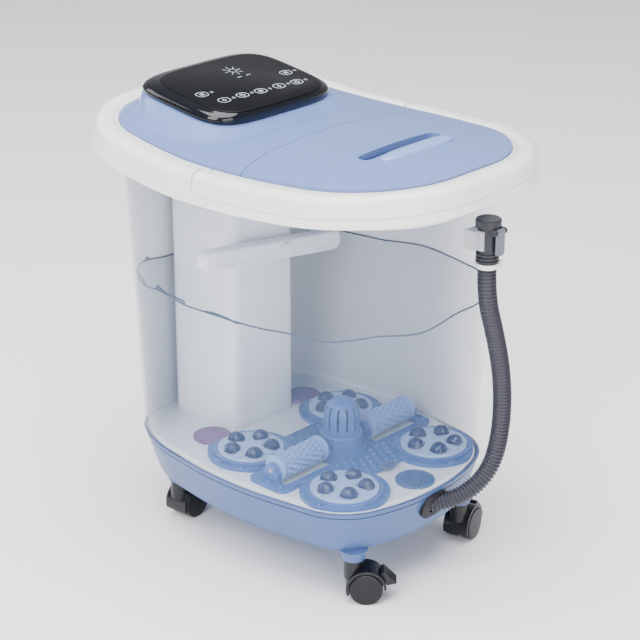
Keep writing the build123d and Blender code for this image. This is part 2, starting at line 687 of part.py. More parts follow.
# ---------------------------------------------------------------- massage floor
ROLLER_NEAR, ROLLER_FAR = 33.0, 95.0       # ends of each roller's drum along X
with BuildPart() as massage_plate:
    with BuildSketch(Plane.XY.offset(FLOOR_Z)):
        with Locations(*DISCS):
            Circle(DISC_R + 10)
        with Locations((0, ROLLER_Y)):
            RectangleRounded(218, 48, 8)
        with Locations((0, (DISC_REAR_Y + DISC_FRONT_Y) / 2)):
            Rectangle(84, 116)
        add(grown(BASE_OUTLINE, -6), mode=Mode.INTERSECT)
    extrude(amount=PLATE_Z - FLOOR_Z)
    # raised rings round the turntables
    with BuildSketch(Plane.XY.offset(PLATE_Z)):
        with Locations(*DISCS):
            Circle(DISC_R + 4.5)
            Circle(DISC_R + 0.6, mode=Mode.SUBTRACT)
    extrude(amount=2)
    with BuildSketch(Plane.XY.offset(FLOOR_Z)):
        with Locations(*DISCS):
            Circle(SHAFT_R + 0.3)
        for side in (-1, 1):
            with Locations((side * (ROLLER_NEAR + ROLLER_FAR) / 2, ROLLER_Y)):
                RectangleRounded(ROLLER_FAR - ROLLER_NEAR + 3, 32, 3)
            with Locations((side * LENS_X, LENS_Y)):
                Circle(LENS_R + 0.4)
    extrude(amount=10, mode=Mode.SUBTRACT)
massage_plate.part.label = "massage_plate"
export_step(massage_plate.part.moved(ROW_FRAME), "parts/massage_plate.step")

BALLS, BALL_RING, BALL_R = 5, 20.5, 8.5
DISC_FACE_Z = 107.0
for number, (disc_x, disc_y) in enumerate(DISCS, start=1):
    with BuildPart() as turntable:
        with BuildSketch(Plane.XY.offset(PLATE_Z + 0.4)):
            with Locations((disc_x, disc_y)):
                Circle(DISC_R)
        extrude(amount=DISC_FACE_Z - PLATE_Z - 0.4)
        fillet(turntable.faces().sort_by(Axis.Z)[-1].edges(), 1.5)
        with BuildSketch(Plane.XY.offset(DISC_FACE_Z)):
            with Locations((disc_x, disc_y)):
                with PolarLocations(15, BALLS, start_angle=90 + 180 / BALLS):
                    SlotOverall(28, 9)
                Circle(10)
            with Locations((disc_x, disc_y)):
                with PolarLocations(BALL_RING, BALLS, start_angle=90):
                    Circle(BALL_R + 0.1, mode=Mode.SUBTRACT)
        extrude(amount=1.6)
        with BuildSketch(Plane.XY.offset(78)):
            with Locations((disc_x, disc_y)):
                Circle(SHAFT_R)
        extrude(amount=PLATE_Z + 1 - 78)
    turntable.part.label = f"turntable_{number}"
    export_step(turntable.part.moved(ROW_FRAME), f"parts/turntable_{number}.step")

    with BuildPart() as disc_balls:
        with Locations((disc_x, disc_y, DISC_FACE_Z)):
            with PolarLocations(BALL_RING, BALLS, start_angle=90):
                Sphere(BALL_R, arc_size1=0, align=(Align.CENTER, Align.CENTER, Align.MIN))
    disc_balls.part.label = f"disc_balls_{number}"
    export_step(disc_balls.part.moved(ROW_FRAME), f"parts/disc_balls_{number}.step")

ROLLER_TEETH, ROLLER_ROWS, ROLLER_TIP = 12, 7, 13.0
AXLE_R = 2.5
for name, side in (("left", -1), ("right", 1)):
    with BuildPart() as roller:
        with BuildSketch(Plane.YZ.offset(side * ROLLER_NEAR)):
            with Locations((ROLLER_Y, ROLLER_Z)):
                Circle(ROLLER_R)
        extrude(amount=side * (ROLLER_FAR - ROLLER_NEAR))
        # rows of blunt massage teeth, every other row turned by half a pitch
        for row in range(ROLLER_ROWS):
            at = side * (ROLLER_NEAR + 5 + 8 * row)
            turned = 180 / ROLLER_TEETH * (row % 2)
            with BuildSketch(Plane.YZ.offset(at)):
                with Locations((ROLLER_Y, ROLLER_Z)):
                    with PolarLocations((ROLLER_R + ROLLER_TIP) / 2 - 1, ROLLER_TEETH, start_angle=turned):
                        Rectangle(ROLLER_TIP - ROLLER_R + 2, 3.2)
            extrude(amount=side * 4)
        for at in (ROLLER_NEAR, ROLLER_FAR - 3):
            with BuildSketch(Plane.YZ.offset(side * at)):
                with Locations((ROLLER_Y, ROLLER_Z)):
                    Circle(ROLLER_TIP)
            extrude(amount=side * 3)
        with BuildSketch(Plane.YZ.offset(side * ROLLER_NEAR)):
            with Locations((ROLLER_Y, ROLLER_Z)):
                Circle(AXLE_R + RUNNING)
        extrude(amount=side * (ROLLER_FAR - ROLLER_NEAR), mode=Mode.SUBTRACT)
    roller.part.label = f"roller_{name}"
    export_step(roller.part.moved(ROW_FRAME), f"parts/roller_{name}.step")

BLOCK_THICK = 5.0
with BuildPart() as roller_axles:
    for side in (-1, 1):
        with BuildSketch(Plane.YZ.offset(side * (ROLLER_NEAR - 1 - BLOCK_THICK))):
            with Locations((ROLLER_Y, ROLLER_Z)):
                Circle(AXLE_R)
        extrude(amount=side * (ROLLER_FAR - ROLLER_NEAR + 2 + 2 * BLOCK_THICK))
roller_axles.part.label = "roller_axles"
export_step(roller_axles.part.moved(ROW_FRAME), "parts/roller_axles.step")

with BuildPart() as roller_blocks:
    for side in (-1, 1):
        for at in (ROLLER_NEAR - 1 - BLOCK_THICK, ROLLER_FAR + 1):
            with BuildSketch(Plane.YZ.offset(side * at)):
                with Locations((ROLLER_Y, ROLLER_Z)):
                    Circle(7)
                with Locations((ROLLER_Y, (PLATE_Z + ROLLER_Z) / 2)):
                    Rectangle(20, ROLLER_Z - PLATE_Z)
                with Locations((ROLLER_Y, ROLLER_Z)):
                    Circle(AXLE_R, mode=Mode.SUBTRACT)
            extrude(amount=side * BLOCK_THICK)
roller_blocks.part.label = "roller_blocks"
export_step(roller_blocks.part.moved(ROW_FRAME), "parts/roller_blocks.step")

SOCKET_R, DOME_R, DOME_FOOT_Z, CAP_Z = 14.0, 18.0, 121.0, 139.0
with BuildPart() as herb_pedestal:
    with BuildSketch(Plane.XY.offset(PLATE_Z)):
        with Locations((0, DOME_Y)):
            Circle(25)
    extrude(amount=5)
    with BuildSketch(Plane.XY.offset(PLATE_Z + 5)):
        with Locations((0, DOME_Y)):
            Circle(21)
    extrude(amount=DOME_FOOT_Z - PLATE_Z - 5)
    fillet(herb_pedestal.faces().sort_by(Axis.Z)[-1].edges(), 1.5)
    with BuildSketch(Plane.XY.offset(PLATE_Z + 3)):
        with Locations((0, DOME_Y)):
            Circle(SOCKET_R)
    extrude(amount=30, mode=Mode.SUBTRACT)
herb_pedestal.part.label = "herb_pedestal"
export_step(herb_pedestal.part.moved(ROW_FRAME), "parts/herb_pedestal.step")

DOME_SLOTS = 12
with BuildPart() as herb_dome:
    with BuildSketch(Plane.XZ.offset(-DOME_Y)):
        with BuildLine():
            Line((DOME_R, DOME_FOOT_Z), (DOME_R, CAP_Z))
            CenterArc((0, CAP_Z), DOME_R, 0, 90)
            Line((0, CAP_Z + DOME_R), (0, CAP_Z + DOME_R - 2.5))
            CenterArc((0, CAP_Z), DOME_R - 2.5, 0, 90)
            Polyline((DOME_R - 2.5, CAP_Z), (DOME_R - 2.5, DOME_FOOT_Z + 2),
                     (SOCKET_R - 2, DOME_FOOT_Z + 2), (SOCKET_R - 2, DOME_FOOT_Z - 12),
                     (SOCKET_R - 0.1, DOME_FOOT_Z - 12), (SOCKET_R - 0.1, DOME_FOOT_Z), (DOME_R, DOME_FOOT_Z))
        make_face()
    revolve(axis=Axis((0, DOME_Y, 0), (0, 0, 1)))
    with Locations((0, DOME_Y, DOME_FOOT_Z + 17)):
        with PolarLocations(DOME_R - 4, DOME_SLOTS):
            Box(16, 2.4, 23, mode=Mode.SUBTRACT)
herb_dome.part.label = "herb_dome"
export_step(herb_dome.part.moved(ROW_FRAME), "parts/herb_dome.step")

with BuildPart() as infrared_lenses:
    with BuildSketch(Plane.XY.offset(FLOOR_Z)):
        with Locations((-LENS_X, LENS_Y), (LENS_X, LENS_Y)):
            Circle(LENS_R)
    extrude(amount=3)
    fillet(infrared_lenses.faces().group_by(Axis.Z)[-1].edges(), 1.2)
infrared_lenses.part.label = "infrared_lenses"
export_step(infrared_lenses.part.moved(ROW_FRAME), "parts/infrared_lenses.step")

with BuildPart() as drain_filter:
    with BuildSketch(Plane.XY.offset(FLOOR_Z)):
        with Locations((0, FILTER_Y)):
            Circle(FILTER_R)
    extrude(amount=2.5)
    fillet(drain_filter.faces().sort_by(Axis.Z)[-1].edges(), 1)
    with BuildSketch(Plane.XY.offset(FLOOR_Z)):
        with Locations((0, FILTER_Y)):
            with HexLocations(2.2, 7, 7):
                Circle(1.2)
    extrude(amount=2.5, mode=Mode.SUBTRACT)
drain_filter.part.label = "drain_filter"
export_step(drain_filter.part.moved(ROW_FRAME), "parts/drain_filter.step")

VENTS = [(0, 12), (0, -97)]
with BuildPart() as floor_vents:
    with BuildSketch(Plane.XY.offset(PLATE_Z)):
        with Locations(*VENTS):
            Ellipse(11, 5.5)
    extrude(amount=1.5)
    with BuildSketch(Plane.XY.offset(PLATE_Z)):
        with Locations(*VENTS):
            with GridLocations(4, 1, 4, 1):
                SlotOverall(6, 1.8, rotation=90)
    extrude(amount=1.5, mode=Mode.SUBTRACT)
floor_vents.part.label = "floor_vents"
export_step(floor_vents.part.moved(ROW_FRAME), "parts/floor_vents.step")

# ---------------------------------------------------------------- casters
FORK_TOP_Z = 43.6
WEB = 2.4                    # half thickness of the web between the twin wheels
WHEEL_GAP = 3.0              # from the caster's middle plane to a wheel's inner face
with BuildPart() as caster_stems:
    with BuildSketch(Plane.XY.offset(37)):
        with Locations(*[(x, y) for x, y, swivel in CASTERS]):
            Circle(STEM_R)
    extrude(amount=BASE_BOTTOM_Z - 39)
caster_stems.part.label = "caster_stems"
export_step(caster_stems.part.moved(ROW_FRAME), "parts/caster_stems.step")

for number, (caster_x, caster_y, swivel) in enumerate(CASTERS, start=1):
    ahead = Vector(cos(radians(swivel)), sin(radians(swivel)), 0)
    across = Vector(-ahead.Y, ahead.X, 0)
    stem_foot = Vector(caster_x, caster_y, 0)
    hub = stem_foot + ahead * TRAIL + Vector(0, 0, WHEEL_R)
    wheel_plane = Plane(origin=hub, x_dir=ahead, z_dir=across * -1)
    with BuildPart() as caster_fork:
        with BuildSketch(wheel_plane):
            Circle(WHEEL_R + 3.4)
            with Locations((20, -14), (-20, -20)):
                Rectangle(60, 28, mode=Mode.SUBTRACT)
        extrude(amount=WHEEL_GAP + WHEEL_WIDTH - 1, both=True)
        with BuildSketch(Plane(origin=stem_foot + Vector(0, 0, 24), x_dir=ahead, z_dir=(0, 0, 1))):
            Circle(9)
        extrude(amount=FORK_TOP_Z - 24)
        with BuildSketch(wheel_plane):
            Circle(WHEEL_R + 0.8)
        extrude(amount=40, both=True, mode=Mode.SUBTRACT)
        with BuildSketch(wheel_plane):
            Circle(11)
            with Locations((-6, 10)):
                Rectangle(20, 20)
            Circle(WHEEL_R + 2, mode=Mode.INTERSECT)
        extrude(amount=WEB, both=True)
        with BuildSketch(Plane.XY.offset(36)):
            with Locations((caster_x, caster_y)):
                Circle(STEM_R + RUNNING)
        extrude(amount=10, mode=Mode.SUBTRACT)
        with BuildSketch(wheel_plane):
            Circle(2.5 + RUNNING)
        extrude(amount=5, both=True, mode=Mode.SUBTRACT)
    caster_fork.part.label = f"caster_fork_{number}"
    export_step(caster_fork.part.moved(ROW_FRAME), f"parts/caster_fork_{number}.step")

    with BuildPart() as caster_wheels:
        with BuildSketch(wheel_plane):
            Circle(2.5)
        extrude(amount=WHEEL_GAP + WHEEL_WIDTH, both=True)
        for side in (-1, 1):
            with BuildSketch(wheel_plane.offset(side * WHEEL_GAP)):
                Circle(WHEEL_R)
            extrude(amount=side * WHEEL_WIDTH)
        ends = caster_wheels.edges().filter_by(GeomType.CIRCLE).group_by(SortBy.RADIUS)[-1]
        fillet(ends, 1.5)
    caster_wheels.part.label = f"caster_wheels_{number}"
    export_step(caster_wheels.part.moved(ROW_FRAME), f"parts/caster_wheels_{number}.step")

# pointed brake levers of the two front casters, over the trailing side of the wheels
for number, (caster_x, caster_y, swivel) in enumerate(CASTERS[:2], start=1):
    ahead = Vector(cos(radians(swivel)), sin(radians(swivel)), 0)
    across = Vector(-ahead.Y, ahead.X, 0)
    hub = Vector(caster_x, caster_y, WHEEL_R) + ahead * TRAIL
    wheel_plane = Plane(origin=hub, x_dir=ahead, z_dir=across * -1)
    with BuildPart() as caster_brake:
        with BuildSketch(wheel_plane):
            with BuildLine():
                Polyline((19.6, 2.5), (29, 4.5), (17, 17), (14.6, 13.4), (18.1, 8.3), (19.6, 2.5))
            make_face()
            with Locations((15.5, 14.5)):
                Circle(1.6)
        extrude(amount=8, both=True)
    caster_brake.part.label = f"caster_brake_{number}"
    export_step(caster_brake.part.moved(ROW_FRAME), f"parts/caster_brake_{number}.step")
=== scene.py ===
import bmesh
import bpy
import json
from math import cos, pi, radians, sin
from mathutils import Matrix, Vector, noise


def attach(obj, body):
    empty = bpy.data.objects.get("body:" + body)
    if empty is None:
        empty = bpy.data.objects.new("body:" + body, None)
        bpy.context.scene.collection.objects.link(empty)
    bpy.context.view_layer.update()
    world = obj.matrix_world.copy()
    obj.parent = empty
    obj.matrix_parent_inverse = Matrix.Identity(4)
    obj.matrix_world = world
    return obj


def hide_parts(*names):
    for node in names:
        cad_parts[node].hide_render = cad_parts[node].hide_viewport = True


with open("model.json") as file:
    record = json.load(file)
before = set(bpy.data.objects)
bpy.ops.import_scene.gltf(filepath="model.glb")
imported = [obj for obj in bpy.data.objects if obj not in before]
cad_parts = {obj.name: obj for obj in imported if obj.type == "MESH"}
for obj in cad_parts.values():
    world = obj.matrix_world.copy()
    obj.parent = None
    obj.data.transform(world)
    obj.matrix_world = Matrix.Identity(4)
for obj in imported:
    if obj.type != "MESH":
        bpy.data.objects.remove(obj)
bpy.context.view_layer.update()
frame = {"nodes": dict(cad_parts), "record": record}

# ---------------------------------------------------------------- camera
# Three-quarter view from the lid end, looking down on the lid from well above the rim, with the
# panel to the left and the hose to the right.
LOOK_AT = Vector((0.0073, 0.0075, 0.2257))
VIEWPOINT = (-1.3082, -1.2234, 0.9756)
LENS, SENSOR = 112.5, 36.0
camera_data = bpy.data.cameras.new("camera")
camera_data.lens = LENS
camera_data.sensor_width = SENSOR
camera = bpy.data.objects.new("camera", camera_data)
bpy.context.collection.objects.link(camera)
camera.location = VIEWPOINT
camera.rotation_euler = (LOOK_AT - camera.location).to_track_quat("-Z", "Y").to_euler()
bpy.context.scene.camera = camera

# ---------------------------------------------------------------- drain hose
# Corrugated flexible hose, 17.6 mm outside: out of the skirt through an oval grommet, then up the
# front wall to its clip under the rim. The ribs are moulded in soft grey plastic.
BODIES = frame["record"]["behaviour"]["bodies"]
BODY_OF = {node: body for body, nodes in BODIES.items() for node in nodes}


def paint(red, green, blue):
    """Linear colour from 8-bit display values."""
    return tuple(((v / 255 + 0.055) / 1.055) ** 2.4 if v > 10 else v / 3294.6
                 for v in (red, green, blue)) + (1.0,)


def moulded(name, colour, rough, mottle=0.04, grain=700.0, relief=0.03, coat=0.0, alpha=1.0,
            shine=0.4):
    """Moulded plastic: faint clouding of the colour, uneven gloss and a fine skin texture."""
    material = bpy.data.materials.new(name)
    material.use_nodes = True
    nodes, links = material.node_tree.nodes, material.node_tree.links
    shader = nodes["Principled BSDF"]
    shader.inputs["Coat Weight"].default_value = coat
    shader.inputs["Coat Roughness"].default_value = 0.08
    shader.inputs["Specular IOR Level"].default_value = shine
    shader.inputs["Alpha"].default_value = alpha
    where = nodes.new("ShaderNodeTexCoord")
    cloud = nodes.new("ShaderNodeTexNoise")
    cloud.inputs["Scale"].default_value = 14.0
    cloud.inputs["Detail"].default_value = 4.0
    links.new(where.outputs["Object"], cloud.inputs["Vector"])
    shade = nodes.new("ShaderNodeMix")
    shade.data_type = "RGBA"
    shade.inputs[6].default_value = tuple(v * (1 - mottle) for v in colour[:3]) + (1.0,)
    shade.inputs[7].default_value = tuple(min(1.0, v * (1 + mottle)) for v in colour[:3]) + (1.0,)
    links.new(cloud.outputs["Fac"], shade.inputs[0])
    links.new(shade.outputs[2], shader.inputs["Base Color"])
    gloss = nodes.new("ShaderNodeMapRange")
    gloss.inputs["To Min"].default_value = max(0.03, rough - 0.05)
    gloss.inputs["To Max"].default_value = rough + 0.06
    links.new(cloud.outputs["Fac"], gloss.inputs["Value"])
    links.new(gloss.outputs["Result"], shader.inputs["Roughness"])
    skin = nodes.new("ShaderNodeTexNoise")
    skin.inputs["Scale"].default_value = grain
    skin.inputs["Detail"].default_value = 2.0
    links.new(where.outputs["Object"], skin.inputs["Vector"])
    bump = nodes.new("ShaderNodeBump")
    bump.inputs["Strength"].default_value = relief
    bump.inputs["Distance"].default_value = 0.0004
    links.new(skin.outputs["Fac"], bump.inputs["Height"])
    links.new(bump.outputs["Normal"], shader.inputs["Normal"])
    return material


def soften(mesh_edges, angle=32.0):
    """Smooth shading with creases kept where two faces meet at more than `angle` degrees."""
    for edge in mesh_edges:
        edge.smooth = len(edge.link_faces) == 2 and edge.calc_face_angle() < radians(angle)


def piece(name, shape, body, material, replaced=()):
    """Turn a bmesh into an object that rides on a body and takes a finish."""
    for face in shape.faces:
        face.smooth = True
    mesh = bpy.data.meshes.new(name)
    shape.to_mesh(mesh)
    shape.free()
    made = bpy.data.objects.new(name, mesh)
    bpy.context.collection.objects.link(made)
    mesh.materials.append(material)
    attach(made, body)
    if replaced:
        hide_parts(*replaced)
    return made


def merged(node):
    """The solid's own mesh as one closed skin."""
    shape = bmesh.new()
    shape.from_mesh(frame["nodes"][node].data)
    bmesh.ops.remove_doubles(shape, verts=shape.verts, dist=0.00002)
    return shape


def dressed(node, material, angle=32.0):
    """Stand a smooth-shaded copy of a solid in its place."""
    shape = merged(node)
    soften(shape.edges, angle)
    return piece(node + "_skin", shape, BODY_OF[node], material, (node,))


HOSE_ROUTE = [(-0.0112, -0.13498, 0.083), (0.0056, -0.15211, 0.083), (0.0229, -0.1688, 0.0929),
              (0.0372, -0.1803, 0.1113), (0.0457, -0.1856, 0.1353), (0.047, -0.1895, 0.176),
              (0.041, -0.1912, 0.22), (0.029, -0.191, 0.262), (0.014, -0.191, 0.303),
              (0.014, -0.191, 0.331)]
HOSE_RADIUS, RIB_PITCH, RIB_DEPTH = 0.0088, 0.0036, 0.0015

route = bpy.data.curves.new("hose_route", "CURVE")
route.dimensions = "3D"
route.resolution_u = 24
spline = route.splines.new("NURBS")
spline.points.add(len(HOSE_ROUTE) - 1)
for knot, place in zip(spline.points, HOSE_ROUTE):
    knot.co = (*place, 1.0)
spline.order_u = 3
spline.use_endpoint_u = True
guide = bpy.data.objects.new("hose_route", route)
bpy.context.collection.objects.link(guide)
line_mesh = bpy.data.meshes.new_from_object(guide)
line = [v.co.copy() for v in line_mesh.vertices]
bpy.data.objects.remove(guide)

travelled = [0.0]
for near, far in zip(line, line[1:]):
    travelled.append(travelled[-1] + (far - near).length)


def along(distance):
    """Point and direction on the hose's line at a distance from its start."""
    for i in range(len(line) - 1):
        if travelled[i + 1] >= distance or i == len(line) - 2:
            share = (distance - travelled[i]) / (travelled[i + 1] - travelled[i])
            return line[i].lerp(line[i + 1], share), (line[i + 1] - line[i]).normalized()


hose_shape = bmesh.new()
RIB_PROFILE = [(0.0, 1.0), (0.25, 1.0), (0.42, 0.55), (0.58, 0.0), (0.78, 0.0), (0.9, 0.55)]
ribs = int(travelled[-1] / RIB_PITCH)
last_ring = None
for rib in range(ribs):
    for step, height in RIB_PROFILE:
        at, way = along((rib + step) * travelled[-1] / ribs)
        aim = way.to_track_quat("Z", "X").to_matrix().to_4x4()
        ring = bmesh.ops.create_circle(hose_shape, segments=28,
                                       radius=HOSE_RADIUS - RIB_DEPTH * (1 - height),
                                       matrix=Matrix.Translation(at) @ aim)["verts"]
        edges = list({e for v in ring for e in v.link_edges})
        if last_ring:
            bmesh.ops.bridge_loops(hose_shape, edges=last_ring + edges)
        else:
            bmesh.ops.contextual_create(hose_shape, geom=ring)
        last_ring = edges
bmesh.ops.contextual_create(hose_shape, geom=list({v for e in last_ring for v in e.verts}))
bmesh.ops.recalc_face_normals(hose_shape, faces=hose_shape.faces)
soften(hose_shape.edges, 60)
hose_grey = moulded("hose_grey", paint(50, 49, 60), 0.42, mottle=0.08, relief=0.12)
hose = piece("drain_hose_ribbed", hose_shape, "bath", hose_grey, ("drain_hose",))

plug_grey = moulded("plug_grey", paint(38, 38, 46), 0.4, relief=0.1)
lever_grey = moulded("lever_grey", paint(104, 106, 118), 0.38)
collar = dressed("hose_collar", plug_grey)
tie = dressed("cable_tie", moulded("tie_white", paint(232, 232, 230), 0.4))
plug = dressed("hose_plug", plug_grey)
dressed("hose_lever", lever_grey)
dressed("hose_clip", moulded("clip_clear", paint(198, 202, 206), 0.3, alpha=0.75))
dressed("hose_grommet", moulded("seal_black", paint(22, 22, 26), 0.6, relief=0.15))

# ---------------------------------------------------------------- base
# Blue-grey moulded skirt and bottom plate, screwed together from below, with the socket for the
# mains lead in the rear wall.
skirt_blue = moulded("skirt_blue", paint(72, 97, 146), 0.34, relief=0.05, coat=0.15)
steel = moulded("pin_steel", paint(196, 198, 202), 0.25, relief=0.02)
steel.node_tree.nodes["Principled BSDF"].inputs["Metallic"].default_value = 1.0
for node in ("base_skirt", "base_plate"):
    dressed(node, skirt_blue)
for node in ("base_screws", "caster_stems", "roller_axles", "handle_pins"):
    dressed(node, steel)
dressed("power_inlet", moulded("inlet_black", paint(24, 24, 27), 0.45, relief=0.1))

# ---------------------------------------------------------------- tub
# Moulded clear plastic wall on a white floor, with painted light: it turns whiter and more opaque
# away from the camera, towards the rear and right, where light shows on the far wall. The white
# column carries the spray bar and hides the riser pipe. The pump, heater, air pump and gear motors
# stand under the floor.
# Painted light: alpha rises along the camera's line of sight, so the far side of the wall is drawn white
# where light falls on it.
AWAY_FROM_CAMERA = (0.73, 0.68, 0.0)
FAR_LIGHT_START, FAR_LIGHT_END = -0.02, 0.10
CLEAREST, FAR_LIGHT_ALPHA = 0.02, 0.9
tub_clear = moulded("tub_clear", paint(226, 229, 236), 0.14, mottle=0.02, relief=0.01)
links = tub_clear.node_tree.links
where = tub_clear.node_tree.nodes.new("ShaderNodeTexCoord")
across = tub_clear.node_tree.nodes.new("ShaderNodeVectorMath")
across.operation = "DOT_PRODUCT"
across.inputs[1].default_value = AWAY_FROM_CAMERA
painted_far_light = tub_clear.node_tree.nodes.new("ShaderNodeMapRange")
painted_far_light.interpolation_type = "SMOOTHSTEP"
painted_far_light.inputs["From Min"].default_value = FAR_LIGHT_START
painted_far_light.inputs["From Max"].default_value = FAR_LIGHT_END
painted_far_light.inputs["To Min"].default_value = CLEAREST
painted_far_light.inputs["To Max"].default_value = FAR_LIGHT_ALPHA
links.new(where.outputs["Object"], across.inputs[0])
links.new(across.outputs["Value"], painted_far_light.inputs["Value"])
links.new(painted_far_light.outputs["Result"], tub_clear.node_tree.nodes["Principled BSDF"].inputs["Alpha"])
white = moulded("moulding_white", paint(228, 232, 238), 0.3, mottle=0.02, coat=0.2)
dressed("basin_wall", tub_clear)
for node in ("basin_floor", "service_column", "spray_bar", "spray_knob"):
    dressed(node, white)
pipe_grey = moulded("pipe_grey", paint(178, 181, 187), 0.45)
for node in ("riser_pipe", "drain_pipe"):
    dressed(node, pipe_grey)
motor_metal = moulded("motor_metal", paint(140, 143, 148), 0.35, mottle=0.1)
motor_metal.node_tree.nodes["Principled BSDF"].inputs["Metallic"].default_value = 1.0
for node in ("pump", "heater", "air_pump", "gear_motors"):
    dressed(node, motor_metal)

# ---------------------------------------------------------------- water
# Still water up to about three fifths of the tub, a clear pale blue body, with painted shade: a thin dark
# tube laid along the line where its surface meets the wall.
WATER_TOP, WATER_FOOT, RIPPLE = 0.272, 0.1035, 0.0055
WATER_SHARE = 0.994          # plan of the water against the inside of the wall
SHORE_RADIUS = 0.0008
CUT_X, CUT_Y = 0.021, 0.026  # grid that the surface is cut into for its ripples
water_blue = moulded("water_blue", paint(84, 148, 222), 0.06, mottle=0.03, relief=0.0, alpha=0.07)
# Painted shade: a dark, nearly opaque tube along the waterline stands in for the shade where the water
# meets the wall.
waterline_shade_paint = moulded("waterline_shade_paint", paint(62, 86, 116), 0.2, relief=0.0, alpha=0.9)


def surface(x, y):
    """Height of the rippled surface over a point of the plan."""
    swell = (1.5 * sin(5.4 * x - 7.2 * y) + 0.35 * sin(x * 52 - y * 40)
             + 0.6 * noise.noise(Vector((x * 24, y * 24, 0.4))))
    return WATER_TOP + RIPPLE * swell


hollow = merged("basin_wall")
outward = [f for f in hollow.faces
           if f.normal.x * f.calc_center_median().x + f.normal.y * f.calc_center_median().y > 0
           or abs(f.normal.z) > 0.9]
bmesh.ops.delete(hollow, geom=outward, context="FACES")
bmesh.ops.bisect_plane(hollow, geom=hollow.verts[:] + hollow.edges[:] + hollow.faces[:],
                       plane_co=(0, 0, WATER_TOP), plane_no=(0, 0, 1), clear_outer=True)
bmesh.ops.bisect_plane(hollow, geom=hollow.verts[:] + hollow.edges[:] + hollow.faces[:],
                       plane_co=(0, 0, WATER_FOOT), plane_no=(0, 0, -1), clear_outer=True)
for vert in hollow.verts:
    vert.co.x *= WATER_SHARE
    vert.co.y *= WATER_SHARE
rim_edges = [e for e in hollow.edges if e.is_boundary and e.verts[0].co.z > WATER_TOP - 0.001
             and e.verts[1].co.z > WATER_TOP - 0.001]
foot_edges = [e for e in hollow.edges if e.is_boundary and e.verts[0].co.z < WATER_FOOT + 0.001
              and e.verts[1].co.z < WATER_FOOT + 0.001]
bmesh.ops.contextual_create(hollow, geom=rim_edges)
bmesh.ops.contextual_create(hollow, geom=foot_edges)
bmesh.ops.triangulate(hollow, faces=[f for f in hollow.faces if len(f.verts) > 4])
for cut in range(-7, 8):
    for normal in ((1, 0, 0), (0, 1, 0)):
        top = [f for f in hollow.faces if f.calc_center_median().z > WATER_TOP - 0.0005]
        around = top + list({e for f in top for e in f.edges}) + list({v for f in top for v in f.verts})
        bmesh.ops.bisect_plane(hollow, geom=around, dist=0.0004,
                               plane_co=(cut * CUT_X, cut * CUT_Y, 0), plane_no=normal)
for vert in hollow.verts:
    if vert.co.z > WATER_TOP - 0.001:
        vert.co.z = surface(vert.co.x, vert.co.y)
bmesh.ops.recalc_face_normals(hollow, faces=hollow.faces)
# Painted shade: the edges where the water surface meets the wall carry the dark tube.
shore = [e for e in hollow.edges if len(e.link_faces) == 2
         and min(v.co.z for v in e.verts) > WATER_TOP - 2 * RIPPLE and e.calc_face_angle() > radians(60)]
shade_line_shape = bmesh.new()
for edge in shore:
    low, high = edge.verts[0].co, edge.verts[1].co
    turn = (high - low).to_track_quat("Z", "X").to_matrix().to_4x4()
    bmesh.ops.create_cone(shade_line_shape, cap_ends=True, segments=6, radius1=SHORE_RADIUS,
                          radius2=SHORE_RADIUS,
                          depth=(high - low).length + 0.0004,
                          matrix=Matrix.Translation((low + high) / 2) @ turn)
soften(hollow.edges, 50)
piece("water_body", hollow, "bath", water_blue)
piece("painted_waterline_shade", shade_line_shape, "bath", waterline_shade_paint)

# ---------------------------------------------------------------- rim and carry handle
# Thick white rim with a ledge for the lid; the top of its front half is the carry handle, which
# turns on two steel pins.
rim_white = moulded("rim_white", paint(238, 238, 235), 0.26, mottle=0.015, relief=0.03, coat=0.25)
for node in ("rim_ring", "carry_handle"):
    dressed(node, rim_white)

# ---------------------------------------------------------------- lid and rear cover
# Blue-grey injection mouldings: the lid lifts off by the bar in front of its finger slot, and the
# rear cover rises to the control panel.
BAR_HALF = (0.048, 0.0095, 0.0045)
BAR_PLACE = (0.002, -0.1165, 0.4287)
cover_blue = moulded("cover_blue", paint(108, 131, 184), 0.3, mottle=0.02, relief=0.04, coat=0.2)
for node in ("front_lid", "rear_cover"):
    dressed(node, cover_blue)
bar_shape = bmesh.new()
bmesh.ops.create_uvsphere(bar_shape, u_segments=48, v_segments=24, radius=1.0)
for vert in bar_shape.verts:
    side = 1 if vert.co.x > 0 else -1
    vert.co = Vector((BAR_HALF[0] * side * abs(vert.co.x) ** 0.45,
                      BAR_HALF[1] * vert.co.y, BAR_HALF[2] * vert.co.z))
bmesh.ops.translate(bar_shape, verts=bar_shape.verts, vec=BAR_PLACE)
bmesh.ops.recalc_face_normals(bar_shape, faces=bar_shape.faces)
piece("grip_bar", bar_shape, "lid",
      moulded("grip_blue", paint(126, 150, 202), 0.26, mottle=0.02, coat=0.3))

# ---------------------------------------------------------------- control panel
# Piano-black housing with rolled sides, a dark film window on top, and touch marks printed on it
# as plain outline symbols.
PANEL_PLACE = Matrix.Translation((0, 0.1115, 0.4375)) @ Matrix.Rotation(radians(8), 4, "X")


def squircle(shape, half_x, half_y, height, shift, power=4.4, count=120):
    """Closed ring of edges in the form of a rectangle with bulging sides."""
    ring = bmesh.ops.create_circle(shape, segments=count, radius=1.0)["verts"]
    for vert in ring:
        reach = (abs(vert.co.x) ** power + abs(vert.co.y) ** power) ** (-1 / power)
        vert.co = Vector((vert.co.x * reach * half_x, vert.co.y * reach * half_y + shift, height))
    return list({e for v in ring for e in v.link_edges})


def stacked(rings):
    """Skin over a stack of squircle rings, closed at both ends."""
    shape = bmesh.new()
    loops = [squircle(shape, *ring) for ring in rings]
    for lower, upper in zip(loops, loops[1:]):
        bmesh.ops.bridge_loops(shape, edges=lower + upper)
    for end in (loops[0], loops[-1]):
        bmesh.ops.contextual_create(shape, geom=end)
    bmesh.ops.recalc_face_normals(shape, faces=shape.faces)
    return shape


